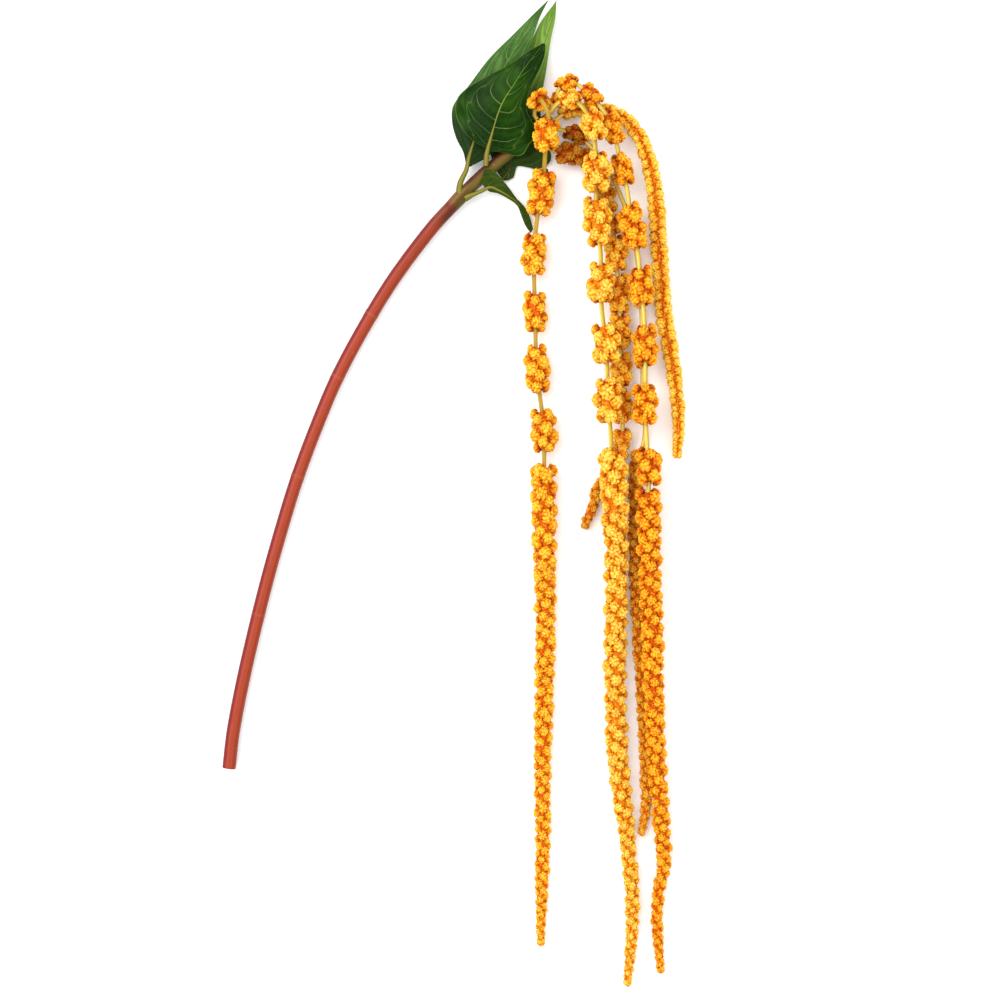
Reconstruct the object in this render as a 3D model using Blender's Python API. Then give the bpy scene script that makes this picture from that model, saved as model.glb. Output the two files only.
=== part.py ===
"""A cut seed head of hanging amaranth, laid down on a flat surface.

The bent stem lies on its flat underside and points towards +Y. Four leaves spring
from its upper end. Six strands of seed clusters leave the thin crown past the
leaves, arch over to the right and run back along the surface towards -Y.
Sizes and places are in millimetres and become metres where the points are made.
The origin is on the surface, under the middle of the whole head.
"""

import math
import random

import bmesh
import bpy
from mathutils import Vector
from mathutils.geometry import interpolate_bezier

MM = 0.001
UP = Vector((0, 0, 1))
SHARP_ANGLE = math.radians(50)
ROUTE_DETAIL = 24

# Stem: a bent round rod, thinner in the crown, with a flat strip that it lies on
STEM_RADIUS = 4.7
STEM_SIDES = 12
STEM_STEP = 17
STEM_LIES = STEM_RADIUS * math.cos(math.pi / STEM_SIDES)
STEM_ROUTE = [
    (-157.8, -191, STEM_LIES), (-154.7, -164.5, STEM_LIES), (-148, -129.5, STEM_LIES),
    (-140, -94.5, STEM_LIES), (-131.2, -59.5, STEM_LIES), (-121.4, -24.5, STEM_LIES),
    (-110.6, 10.5, STEM_LIES), (-97.6, 45.5, STEM_LIES), (-82.9, 80.5, STEM_LIES),
    (-64.4, 115.5, STEM_LIES), (-43, 150.5, STEM_LIES), (-16.8, 185.5, 5.3),
    (-1.4, 202.3, 5.9), (11.2, 215.3, 6.5), (21.7, 225, 6.9), (32.2, 233.8, 7.3),
    (43.4, 243.2, 7.6), (54, 253.3, 7.9), (61, 260.2, 8.1), (66, 265, 8.2),
]
STEM_RADII = [(0, STEM_RADIUS), (0.88, STEM_RADIUS), (0.94, 4.2), (0.97, 3.6), (1, 2.6)]

# Strands: a bare axis carries egg-shaped clusters first, then an unbroken tail.
# Both are covered in rows of lumps, and a lump is a six-sided mound with a flat top.
AXIS_RADIUS = 1.6
AXIS_SIDES = 6
AXIS_STEP = 9
LUMP_WIDTH_FLOOR = 8.7
ROW_PER_WIDTH = 0.95
VALLEY_DEPTH = 0.4
TOP_SPREAD = 0.24
TOP_JITTER = 0.05
THICK_RADIUS = 7.0
LUMPS_ROUND_THICK = 5
LUMPS_ROUND_THIN = 4
END_SHRINK = 0.5
NECK_SHARE = 1.15
WAIST_SHARE = 0.8
CORNER_STAGGER = 1 / 6
EGG_TAPER = 0.45
EGG_LEAST = 0.2
TIP_ROOM = 1
BLOCK_GAP = 0.001

STRANDS = {
    "strand_left": {
        "route": [
            (57.3, 261.7, 8.1), (55.5, 264.5, 8.3), (56, 269, 9), (58.5, 273, 12), (59, 274, 17),
            (60, 273, 23), (63, 268, 25.8), (65, 262, 25.2), (64, 252, 22.5), (63, 238, 17),
            (62, 224, 12), (60, 211, 9.6), (57, 189, 9.2), (55, 168, 9), (56, 128, 8.6),
            (57, 88, 9), (62, 45, 9.3), (62, -4, 9.2), (63, -66, 7.8), (62.7, -130, 6.8),
            (61.2, -178, 6.2), (61.3, -241, 5.4), (60.3, -287, 4.6), (60, -316, 2.8),
        ],
        "clusters": [
            (59, 274, 13, 8.4), (64, 250.5, 22, 10.3), (60, 211, 31, 10), (55, 168, 28, 9.5),
            (56, 128, 27, 9), (57, 88, 32, 9.5), (62, 45, 29, 9.8),
        ],
        "tail": [
            (62, 21, 9.7), (62.3, -24, 9.4), (62.8, -52, 8.1), (63, -80, 7.7), (62.8, -108, 7.3),
            (62.4, -136, 6.9), (61.5, -164, 6.8), (61.2, -192, 6.4), (61.3, -241, 5.6),
            (60.6, -276, 5), (60, -316, 2.9),
        ],
    },
    "strand_front": {
        "route": [
            (64, 263, 11.4), (64.5, 264, 14), (67.5, 267.5, 18), (72.5, 272, 22.6),
            (78.5, 273.8, 26), (85, 271, 28.4), (91, 264, 29.4), (96.2, 255.4, 29),
            (97, 243, 27.6), (98.5, 223.4, 26), (98, 208, 24.8), (98.5, 189, 24.8),
            (101, 167, 24.8), (101, 147, 24.8), (102, 126, 25), (104.8, 105, 25.4),
            (105.6, 86, 25.6), (106.4, 66, 25.6), (108, 42, 24.4), (109.8, 18, 22),
            (111.2, -7, 18), (112.4, -35, 13), (112.5, -74, 9.8), (111.8, -130, 8.8),
            (113.4, -178, 8.3), (115.8, -203, 7.3), (119.4, -231, 6), (122, -257, 5.4),
            (124, -287, 4.9), (123, -315, 4.1), (120, -344, 2.7),
        ],
        "clusters": [
            (78.5, 273.8, 15, 7.4), (96.2, 255.4, 20, 9.2), (98.5, 223.4, 27, 10.3),
            (98.5, 189, 32, 10.2), (101, 147, 26, 10.3), (104.8, 105, 26, 10.5),
            (106.4, 66, 30, 10.6),
        ],
        "tail": [
            (110, 32, 10), (111, -10, 9.6), (112.4, -40, 9), (112.5, -74, 8.5), (112, -160, 8.4),
            (115.8, -203, 7.5), (121, -243, 6.1), (124, -287, 5.2), (123, -325, 4.1),
            (120, -344, 2.8),
        ],
    },
    "strand_right": {
        "route": [
            (66.4, 265.4, 8.2), (69, 269, 9), (70.8, 273.5, 10.6), (71.2, 278.5, 12.2),
            (73, 283.2, 13.6), (77.5, 286.3, 14.4), (84, 285.5, 15.2), (90, 281.4, 16),
            (96, 275.5, 16.8), (102, 268, 17.4), (106.6, 261.5, 17.6), (109.8, 255.2, 17.4),
            (112.6, 243, 16), (116.2, 226, 15), (119.4, 213, 17), (121, 201, 20),
            (123.2, 186, 22.2), (127, 166, 22.4), (129, 145, 22.4), (131, 125, 22.4),
            (132, 104, 22.4), (132, 83, 22.4), (132, 63, 22.4), (132.8, 41, 21.8),
            (134.5, 20, 20.8), (134.5, 1, 19.4), (135, -24, 18.4), (135.8, -52, 17.4),
            (137, -88, 17), (138.3, -136, 17.2), (139.8, -178, 16.2), (142.3, -210, 12.8),
            (144.6, -234, 8.6), (146, -254, 6), (143, -273, 5.2), (141, -292, 4.8),
            (142, -314, 4), (144, -335, 2.7),
        ],
        "clusters": [
            (71.1, 275, 9, 5), (77.5, 286.3, 14, 6.8), (94, 277.5, 17, 7.6),
            (109.8, 255.2, 22, 8.1), (116.2, 226, 21, 8.2), (123.2, 186, 31, 10),
            (129, 145, 25, 9.6), (132, 104, 27, 9.6), (132, 63, 27, 9.8), (134.5, 20, 25, 9.6),
        ],
        "tail": [
            (134.5, 3, 8.8), (135, -24, 8.7), (137, -88, 8.1), (138.3, -136, 7.6),
            (139.3, -164, 7.2), (142.3, -210, 6.8), (145, -240, 6), (143, -273, 5),
            (142, -314, 4), (144, -335, 2.8),
        ],
    },
    "strand_under_front": {
        "route": [
            (59.4, 252.6, 6.6), (61.5, 249.5, 5.9), (65, 243, 5.8), (69, 240, 6.3),
            (75, 238.5, 7.8), (84, 237, 8.2), (94, 233, 8), (101, 222, 8), (105, 206, 8),
            (109.5, 189, 7.8), (112, 168, 8.2), (113.4, 152, 8.2), (114.2, 136, 8.2),
            (115.2, 119, 8.2), (116, 102, 8), (116.2, 84, 7.8), (116.4, 66, 7.8), (117, 46, 7.2),
            (115, 28, 6.2), (107.5, 14, 5.4), (99.5, 3.5, 4.8), (96.3, -8.2, 4.3),
            (92.5, -17.5, 3.9), (89.8, -24.3, 3.2),
        ],
        "clusters": [
            (83, 237, 25, 8.2), (104.4, 208.5, 23, 8.2), (109.3, 190, 13, 7.4),
            (112, 169, 24, 8.6), (114, 141, 26, 8.6), (115.5, 114, 24, 8.4), (116.1, 88, 22, 8),
            (116.5, 63, 24, 7.8),
        ],
        "tail": [
            (117, 46, 7), (107.5, 14, 5.4), (99.5, 3.5, 4.8), (94, -14, 4.1), (89.8, -24.3, 3.2),
        ],
    },
    "strand_under_right": {
        "route": [
            (64.5, 258.5, 7), (67, 256.5, 6.2), (73, 255, 6), (84, 252, 6.2), (92, 246, 5),
            (100, 237, 4.4), (109.5, 222, 4.4), (118, 203, 5), (124, 184, 5.4),
            (127.4, 163, 5.6), (129.4, 144, 5.8), (130.4, 122, 5.6), (130.8, 102, 5.8),
            (131, 82, 5.6), (131, 63, 5.8),
            (132.6, 50, 5.8), (132, 38, 5.6), (128.2, 26, 5.5), (126, 8, 5.3),
            (125.8, -18, 5.3), (126.2, -46, 5.1), (128, -88, 5.2), (129.7, -115, 5.1),
            (132, -150, 5), (134, -192, 5), (133, -222, 4.4), (130, -239, 2.7),
        ],
        "clusters": [
            (84.5, 252, 17, 6.3), (122, 190, 18, 5.2), (129.4, 144, 26, 6), (130.8, 102, 26, 6),
            (131, 63, 24, 6),
        ],
        "tail": [
            (128, 30, 5.8), (126.2, -46, 5.4), (132, -150, 5.4), (133.6, -205, 5.1),
            (130, -239, 2.6),
        ],
    },
    "strand_outer": {
        "route": [
            (68.1, 261.2, 8), (70.5, 261.8, 7.6), (76, 266, 7), (84, 268.5, 6.8),
            (92, 268.5, 6.4), (102, 268, 6.2), (112, 266, 6.2), (122, 259, 6.3), (130, 247, 6.6),
            (136, 230, 6.9), (140, 209, 7), (142, 178, 7), (144, 150, 6.9), (146.2, 124, 6.8),
            (150, 102, 6.5), (153.6, 79, 6), (156, 58, 5.5), (156, 40, 4.9), (155, 25, 3.5),
        ],
        "clusters": [],
        "tail": [
            (74, 264.5, 5.3), (96, 268.5, 6.4), (122, 259, 6), (136, 230, 6.6), (142, 178, 7),
            (146.2, 124, 6.8), (153.6, 79, 6), (156, 50, 5.1), (155, 25, 3.6),
        ],
    },
}

# Leaves: left edge, midrib and right edge from the base to the tip, then the stalk
BLADE_THICKNESS = 0.8
ROWS_PER_KNOT = 2
STALK_SIDES = 5
RIB_RADIUS = 0.8
RIB_KNOTS = 4
STALK_STEP = 8
WAVE_STEP = 1.5
WAVE_SHIFT = 2

LEAVES = {
    "leaf_front": {
        "left": [
            (21, 241, 14.5), (11, 248, 13), (5, 255, 11.8), (1, 264, 11), (1, 274, 11.2),
            (7, 282, 12), (21, 290, 14.5), (37, 298, 17.6), (51, 307, 19.5), (61, 313, 19.5),
        ],
        "midrib": [
            (22, 240, 14.9), (24, 244, 15.2), (26, 251, 16.2), (28, 258, 17.2),
            (31, 267, 18.4), (35, 275, 19.6), (41, 284, 20.5), (48, 295, 21), (55, 304, 20.5),
            (62, 313, 19.5),
        ],
        "right": [
            (24, 239, 14.5), (34, 238, 14.2), (46, 236, 14), (52, 244, 13.7),
            (57, 252, 13.7), (50, 267, 15.4), (52, 281, 18.5), (58, 293, 20), (62, 303, 20),
            (63, 312, 19.5),
        ],
        "stalk": [
            (21.6, 228.8, 14), (21.9, 232.4, 14.4), (22.2, 236.2, 14.8),
        ],
        "stalk_radius": 1.9,
        "half_columns": 3,
        "wave": 0.8,
        "cup": 1.6,
    },
    "leaf_back_left": {
        "left": [
            (8, 228, 8), (6, 239, 6), (1, 249, 5.4), (-2, 261, 5), (-1, 272, 6), (10, 286, 8),
            (24, 304, 10), (38, 318, 11), (52, 332, 10.5), (64, 344, 9),
        ],
        "midrib": [
            (9, 229, 8), (10, 236, 7.6), (13, 246, 7.7), (16, 258, 8.3), (22, 272, 9.5),
            (29, 288, 11), (38, 304, 12), (47, 318, 12), (55, 331, 11), (65, 345, 9),
        ],
        "right": [
            (11, 229, 8), (20, 234, 8), (31, 244, 8.2), (37, 261, 8.6), (43, 276, 9),
            (48, 292, 10.5), (51, 307, 11.5), (55, 320, 11.5), (59, 332, 10.8), (65, 344, 9),
        ],
        "stalk": [
            (1, 212.4, 11.2), (3.2, 217, 10.6), (5.6, 221.6, 9.6), (8, 226.4, 8.6),
        ],
        "stalk_radius": 1.7,
        "half_columns": 2,
        "wave": 0.6,
        "cup": 1.6,
    },
    "leaf_back_right": {
        "left": [
            (34, 220, 1.4), (29, 227, 1.4), (26, 234, 1.4), (24, 243, 1.5), (23, 253, 1.7),
            (24, 265, 2), (34, 284, 3), (44, 300, 4.5), (52, 314, 6), (60, 330, 6.5),
            (70, 344, 6),
        ],
        "midrib": [
            (37, 220, 1.4), (38, 227, 1.4), (39, 234, 1.4), (41, 242, 1.5), (44, 251, 1.7),
            (48, 265, 2), (54, 285, 3), (59, 303, 5), (63, 318, 6.5), (66, 332, 7),
            (71, 346, 6),
        ],
        "right": [
            (41, 222, 1.4), (45, 231, 1.4), (57, 228, 1.8), (67, 234, 2), (64, 248, 2),
            (60, 265, 2), (61, 280, 3), (64, 298, 4.5), (67, 318, 6), (70, 332, 6.5),
            (71, 344, 6),
        ],
        "stalk": [(24, 216, 2), (29, 217.5, 1.9), (34, 222, 1.7)],
        "stalk_radius": 1.3,
        "half_columns": 2,
        "wave": 0,
        "cup": 1,
    },
    "leaf_small": {
        "left": [
            (20.4, 226.4, 12.8), (26, 226.2, 12.7), (31.9, 220.9, 10.6), (37.6, 214.4, 8.2),
            (43.2, 206.8, 6.4), (48.4, 201.6, 5.2), (52.2, 194.8, 4.2), (54.6, 186, 3.2),
        ],
        "midrib": [
            (19.4, 221.4, 12.5), (24.6, 214.4, 10.4), (30.3, 212.4, 8.8), (36.4, 209.2, 7.2),
            (43.4, 204.2, 5.8), (47.2, 197.4, 4.8), (50.6, 190.2, 3.8), (54, 185, 3),
        ],
        "right": [
            (18.6, 216.6, 12.4), (23.4, 211.8, 9.6), (29.6, 210.4, 7.8), (36, 207.4, 6.6),
            (43.2, 202.4, 5.6), (46.2, 195.8, 4.4), (49, 188.8, 3.5), (53, 183, 3),
        ],
        "stalk": [
            (10.2, 205.8, 8.8), (14.4, 209.6, 9.4), (19, 211.8, 10),
        ],
        "stalk_radius": 1.5,
        "half_columns": 2,
        "wave": 0.3,
        "cup": 1,
    },
}

# Colour, roughness of each piece's surface
FINISHES = {
    "stem": ((0.46, 0.07, 0.03), 0.45),
    "strand_left": ((0.95, 0.36, 0.02), 0.6),
    "strand_front": ((0.97, 0.48, 0.05), 0.6),
    "strand_right": ((0.85, 0.25, 0.01), 0.6),
    "strand_under_front": ((0.62, 0.2, 0.01), 0.65),
    "strand_under_right": ((0.6, 0.17, 0.01), 0.65),
    "strand_outer": ((0.85, 0.27, 0.01), 0.6),
    "leaf_front": ((0.02, 0.08, 0.012), 0.5),
    "leaf_back_left": ((0.02, 0.075, 0.012), 0.5),
    "leaf_back_right": ((0.06, 0.17, 0.03), 0.5),
    "leaf_small": ((0.025, 0.085, 0.012), 0.5),
}


def clear_scene():
    for thing in list(bpy.data.objects):
        bpy.data.objects.remove(thing, do_unlink=True)


def finish_of(name):
    colour, roughness = FINISHES[name]
    material = bpy.data.materials.new(name)
    material.use_nodes = True
    shader = material.node_tree.nodes["Principled BSDF"]
    shader.inputs["Base Color"].default_value = (*colour, 1)
    shader.inputs["Roughness"].default_value = roughness
    shader.inputs["Metallic"].default_value = 0
    return material


def make_object(name, bm):
    """The bmesh, in millimetres, as an object in metres with its own finish."""
    bmesh.ops.scale(bm, vec=(MM, MM, MM), verts=bm.verts)
    bmesh.ops.recalc_face_normals(bm, faces=bm.faces)
    mesh = bpy.data.meshes.new(name)
    bm.to_mesh(mesh)
    bm.free()
    mesh.shade_smooth()
    mesh.set_sharp_from_angle(angle=SHARP_ANGLE)
    piece = bpy.data.objects.new(name, mesh)
    bpy.context.collection.objects.link(piece)
    return piece


def smooth_points(route, per_stretch):
    """Points on a smooth curve through the route's own points."""
    knots = [Vector(point) for point in route]
    count = len(knots)
    ways = [
        (knots[min(i + 1, count - 1)] - knots[max(i - 1, 0)]).normalized() for i in range(count)
    ]
    points = []
    for i in range(count - 1):
        reach = (knots[i + 1] - knots[i]).length / 3
        stretch = interpolate_bezier(
            knots[i], knots[i] + ways[i] * reach,
            knots[i + 1] - ways[i + 1] * reach, knots[i + 1], per_stretch + 1,
        )
        points += stretch[:-1]
    return points + [knots[-1]]


class Line:
    """A smooth route with the distance, place and cross directions of every point on it."""

    def __init__(self, route):
        self.points = smooth_points(route, ROUTE_DETAIL)
        self.along = [0]
        for before, after in zip(self.points, self.points[1:]):
            self.along.append(self.along[-1] + (after - before).length)
        self.length = self.along[-1]
        self.sides = []
        side = None
        for i in range(len(self.points)):
            way = self.points[min(i + 1, len(self.points) - 1)] - self.points[max(i - 1, 0)]
            side = way.cross(UP) if side is None else side - side.project(way)
            side.normalize()
            self.sides.append((side.copy(), side.cross(way).normalized()))

    def index(self, distance):
        low, high = 0, len(self.along) - 1
        while high - low > 1:
            middle = (low + high) // 2
            if self.along[middle] > distance:
                high = middle
            else:
                low = middle
        span = self.along[high] - self.along[low]
        part = min(max((distance - self.along[low]) / span, 0), 1)
        return low, high, part

    def place(self, distance, angle, radius):
        """The point at an angle round the line and a radius from it, never under the surface."""
        low, high, part = self.index(distance)
        centre = self.points[low].lerp(self.points[high], part)
        across = self.sides[low][0].lerp(self.sides[high][0], part)
        upward = self.sides[low][1].lerp(self.sides[high][1], part)
        point = centre + (across * math.cos(angle) + upward * math.sin(angle)) * radius
        point.z = max(point.z, 0)
        return point

    def nearest(self, x, y):
        spans = [(point.x - x) ** 2 + (point.y - y) ** 2 for point in self.points]
        return self.along[spans.index(min(spans))]


def read_table(table, value):
    """A value between the pairs of a table, straight from one pair to the next."""
    for (start, low), (end, high) in zip(table, table[1:]):
        if value <= end:
            part = min(max((value - start) / (end - start), 0), 1)
            return low + (high - low) * part
    return table[-1][1]


def plain_ring(bm, line, distance, radius, sides):
    turns = [2 * math.pi * k / sides for k in range(sides)]
    return [(turn, bm.verts.new(line.place(distance, turn, radius))) for turn in turns]


def join_rings(bm, first, second):
    """Triangles between two rings, which may have different counts of points."""
    i = j = 0
    while i < len(first) or j < len(second):
        a = first[i % len(first)]
        b = second[j % len(second)]
        next_a = first[(i + 1) % len(first)]
        next_b = second[(j + 1) % len(second)]
        turn_a = next_a[0] + 2 * math.pi * ((i + 1) // len(first))
        turn_b = next_b[0] + 2 * math.pi * ((j + 1) // len(second))
        if j == len(second) or (i < len(first) and turn_a <= turn_b):
            bm.faces.new((a[1], next_a[1], b[1]))
            i += 1
        else:
            bm.faces.new((a[1], next_b[1], b[1]))
            j += 1


def row_places(start, end, radius_at, lumps):
    """Distances of the valleys between rows: each row is as long as its lumps are wide."""
    marks = [start]
    while marks[-1] < end:
        width = 2 * math.pi * WAIST_SHARE * radius_at(marks[-1]) / lumps
        width = max(width, LUMP_WIDTH_FLOOR)
        marks.append(marks[-1] + width * ROW_PER_WIDTH)
    if len(marks) > 2 and marks[-1] - end > end - marks[-2]:
        marks.pop()
    stretch = (end - start) / (marks[-1] - start)
    return [start + (mark - start) * stretch for mark in marks]


def lumpy_length(bm, line, start, end, radius_at, lumps, draw):
    """Rows of lumps round the line, each a six-sided mound. Returns its two end rings."""
    marks = row_places(start, end, radius_at, lumps)
    half_turn = math.pi / lumps
    rings = []
    for r, mark in enumerate(marks):
        at_end = r in (0, len(marks) - 1)
        spacing = (end - start) / (len(marks) - 1)
        ring = []
        for t in range(2 * lumps):
            side = 1 if (t + r) % 2 else -1
            zigzag = 0 if at_end else spacing * CORNER_STAGGER * side
            valley = radius_at(mark) * (1 - VALLEY_DEPTH)
            radius = max(AXIS_RADIUS * NECK_SHARE, valley * (END_SHRINK if at_end else 1))
            place = line.place(mark + zigzag, t * half_turn, radius)
            ring.append((t * half_turn, bm.verts.new(place)))
        rings.append(ring)
    for k, (below, above) in enumerate(zip(rings, rings[1:])):
        middle = (marks[k] + marks[k + 1]) / 2
        length = marks[k + 1] - marks[k]
        for j in range(lumps):
            centre = 2 * j + k
            corners = [above[(centre + d) % (2 * lumps)][1] for d in (-1, 0, 1)]
            corners += [below[(centre + d) % (2 * lumps)][1] for d in (1, 0, -1)]
            swell = 1 + draw.uniform(-TOP_JITTER, TOP_JITTER)
            first = draw.randrange(2)
            tops = []
            for corner in range(first, 6, 2):
                lean = math.radians(150 - 60 * corner)
                distance = middle + length * TOP_SPREAD * math.sin(lean)
                angle = half_turn * (centre + 2 * TOP_SPREAD * math.cos(lean))
                radius = radius_at(distance) * swell
                tops.append(bm.verts.new(line.place(distance, angle, radius)))
            for n, top in enumerate(tops):
                corner = first + 2 * n
                following = tops[(n + 1) % 3]
                bm.faces.new((corners[(corner - 1) % 6], corners[corner], top))
                bm.faces.new((corners[corner], corners[(corner + 1) % 6], top))
                bm.faces.new((corners[(corner + 1) % 6], following, top))
            bm.faces.new(tops)
    return rings[0], rings[-1]


def make_strand(name, spec, seed):
    line = Line(spec["route"])
    draw = random.Random(seed)
    bm = bmesh.new()
    tail = [(line.nearest(x, y), radius) for x, y, radius in spec["tail"]]
    blocks = []
    for x, y, length, radius in spec["clusters"]:
        centre = line.nearest(x, y)

        def egg(distance, centre=centre, length=length, radius=radius):
            off = (distance - centre) / (length / 2)
            return radius * math.sqrt(max(1 - EGG_TAPER * off * off, EGG_LEAST))

        lumps = LUMPS_ROUND_THICK if radius > THICK_RADIUS + 1 else LUMPS_ROUND_THIN
        blocks.append((centre - length / 2, centre + length / 2, egg, lumps))

    def taper(distance):
        return read_table(tail, distance)

    tail_start = tail[0][0]
    thin_start = tail_start
    while taper(thin_start) > THICK_RADIUS:
        thin_start += 1
    if thin_start > tail_start:
        blocks.append((tail_start, thin_start, taper, LUMPS_ROUND_THICK))
    blocks.append((thin_start + BLOCK_GAP, line.length - TIP_ROOM, taper, LUMPS_ROUND_THIN))

    last = plain_ring(bm, line, 0, AXIS_RADIUS, AXIS_SIDES)
    bm.faces.new([vert for _, vert in last])
    reached = 0
    for start, end, radius_at, lumps in blocks:
        gap = start - reached
        for k in range(1, round(gap / AXIS_STEP)):
            between = reached + gap * k / round(gap / AXIS_STEP)
            ring = plain_ring(bm, line, between, AXIS_RADIUS, AXIS_SIDES)
            join_rings(bm, last, ring)
            last = ring
        first, closing = lumpy_length(bm, line, start, end, radius_at, lumps, draw)
        join_rings(bm, last, first)
        last = closing
        reached = end
    tip = bm.verts.new(line.place(line.length, 0, 0))
    for (_, a), (_, b) in zip(last, last[1:] + last[:1]):
        bm.faces.new((a, b, tip))
    return make_object(name, bm)


def tube(bm, line, radii, sides, step):
    """A closed tube along the line, with flat ends."""
    count = round(line.length / step)
    last = None
    for k in range(count + 1):
        distance = line.length * k / count
        turns = [2 * math.pi * (n + 0.5) / sides for n in range(sides)]
        radius = read_table(radii, k / count)
        ring = [(turn, bm.verts.new(line.place(distance, turn, radius))) for turn in turns]
        if last is None:
            bm.faces.new([vert for _, vert in ring])
        else:
            join_rings(bm, last, ring)
        last = ring
    bm.faces.new([vert for _, vert in last])


def make_stem():
    bm = bmesh.new()
    tube(bm, Line(STEM_ROUTE), STEM_RADII, STEM_SIDES, STEM_STEP)
    return make_object("stem", bm)


def make_blade(name, spec):
    """A thin leaf: one grid of points, then its copy a blade's thickness below it."""
    edges = {part: smooth_points(spec[part], ROWS_PER_KNOT) for part in ("left", "midrib", "right")}
    half = spec["half_columns"]
    columns = 2 * half + 1
    bm = bmesh.new()
    grid = []
    for s, middle in enumerate(edges["midrib"]):
        row = []
        for c in range(columns):
            out = (c - half) / half
            edge = edges["left" if out < 0 else "right"][s]
            point = middle.lerp(edge, abs(out))
            point.z = middle.z + (edge.z - middle.z) * abs(out) ** spec["cup"]
            turn = WAVE_STEP * s + (WAVE_SHIFT if out < 0 else 0)
            point.z += spec["wave"] * out * out * math.sin(turn)
            row.append(bm.verts.new(point))
        grid.append(row)
    for low, high in zip(grid, grid[1:]):
        for c in range(columns - 1):
            if c < half:
                bm.faces.new((low[c], low[c + 1], high[c + 1]))
                bm.faces.new((low[c], high[c + 1], high[c]))
            else:
                bm.faces.new((low[c], low[c + 1], high[c]))
                bm.faces.new((low[c + 1], high[c + 1], high[c]))
    lower = bmesh.ops.duplicate(bm, geom=bm.faces[:])
    twins = lower["vert_map"]
    under = [twins[vert] for row in grid for vert in row]
    bmesh.ops.translate(bm, vec=(0, 0, -BLADE_THICKNESS), verts=under)
    border = [row[0] for row in grid] + grid[-1][1:-1] + [row[-1] for row in reversed(grid)]
    border += list(reversed(grid[0][1:-1]))
    for a, b in zip(border, border[1:] + border[:1]):
        bm.faces.new((a, b, twins[b], twins[a]))
    bmesh.ops.triangulate(bm, faces=[face for face in bm.faces if len(face.verts) == 4])
    return make_object(name, bm)


def make_leaf(name, spec):
    blade = make_blade(name, spec)
    rib = [(x, y, z - BLADE_THICKNESS / 2) for x, y, z in spec["midrib"][:RIB_KNOTS]]
    bm = bmesh.new()
    reach = len(spec["stalk"]) / (len(spec["stalk"]) + len(rib))
    thick = spec["stalk_radius"]
    radii = [(0, thick), (reach, thick), (1, RIB_RADIUS)]
    tube(bm, Line(spec["stalk"] + rib[1:]), radii, STALK_SIDES, STALK_STEP)
    stalk = make_object(name + "_stalk", bm)
    extras = bpy.data.collections.new(name + "_extras")
    extras.objects.link(stalk)
    join = blade.modifiers.new("stalk", "BOOLEAN")
    join.operation = "UNION"
    join.operand_type = "COLLECTION"
    join.collection = extras
    join.solver = "EXACT"
    bpy.context.view_layer.update()
    joined = bpy.data.meshes.new_from_object(blade.evaluated_get(bpy.context.evaluated_depsgraph_get()))
    blade.modifiers.clear()
    blade.data = joined
    bpy.data.objects.remove(stalk, do_unlink=True)
    bpy.data.collections.remove(extras)
    return blade


clear_scene()
pieces = [make_stem()]
for number, (title, strand) in enumerate(STRANDS.items()):
    pieces.append(make_strand(title, strand, number + 1))
for title, leaf in LEAVES.items():
    pieces.append(make_leaf(title, leaf))
for piece in pieces:
    piece.data.materials.clear()
    piece.data.materials.append(finish_of(piece.name))
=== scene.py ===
"""A cut seed head of hanging amaranth, laid down on a pale floor, with the camera above it.

The stem comes first, then the strands of seed clusters that leave its crown, then the
leaves, and last the floor, lights and camera. Places are in millimetres, in the same
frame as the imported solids, and become metres as each piece is finished.
"""

import math
import random

import bmesh
import bpy
from mathutils import Matrix, Vector
from mathutils.geometry import interpolate_bezier


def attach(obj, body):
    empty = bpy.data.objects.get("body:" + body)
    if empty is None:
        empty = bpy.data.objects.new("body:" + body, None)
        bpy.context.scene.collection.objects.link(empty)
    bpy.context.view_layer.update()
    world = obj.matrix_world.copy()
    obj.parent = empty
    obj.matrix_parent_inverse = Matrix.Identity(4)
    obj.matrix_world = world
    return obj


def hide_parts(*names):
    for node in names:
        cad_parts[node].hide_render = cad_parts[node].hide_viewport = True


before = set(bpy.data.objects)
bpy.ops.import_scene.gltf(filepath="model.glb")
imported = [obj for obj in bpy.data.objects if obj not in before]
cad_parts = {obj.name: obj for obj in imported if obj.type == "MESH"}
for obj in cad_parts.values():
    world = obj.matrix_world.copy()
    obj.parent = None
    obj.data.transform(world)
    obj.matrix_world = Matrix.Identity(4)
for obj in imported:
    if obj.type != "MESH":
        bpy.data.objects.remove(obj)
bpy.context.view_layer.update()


# Stem.
# The fresh stem of the plant, cut off square at the bottom: juicy, ribbed and waxy, red
# over most of its length and olive in the crown, with a faint ring at each old leaf joint.
MM = 0.001
UP = Vector((0, 0, 1))
ROUTE_DETAIL = 24
STEM_LIES = 4.54
STEM_ROUTE = [
    (-157.8, -191, STEM_LIES), (-154.7, -164.5, STEM_LIES), (-148, -129.5, STEM_LIES),
    (-140, -94.5, STEM_LIES), (-131.2, -59.5, STEM_LIES), (-121.4, -24.5, STEM_LIES),
    (-110.6, 10.5, STEM_LIES), (-97.6, 45.5, STEM_LIES), (-82.9, 80.5, STEM_LIES),
    (-64.4, 115.5, STEM_LIES), (-43, 150.5, STEM_LIES), (-16.8, 185.5, 5.3),
    (-1.4, 202.3, 5.9), (11.2, 215.3, 6.5), (21.7, 225, 6.9), (32.2, 233.8, 7.3),
    (43.4, 243.2, 7.6), (54, 253.3, 7.9), (61, 260.2, 8.1), (66, 265, 8.2),
]
# Pairs of a share of the length and the radius there
STEM_RADII = [(0, 4.7), (0.88, 4.7), (0.94, 4.2), (0.97, 3.6), (1, 2.6)]
STEM_MOST = 5.0
STEM_SIDES, STEM_STEP = 48, 2.2
STEM_RIBS, RIB_DEPTH = 9, 0.07
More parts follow.
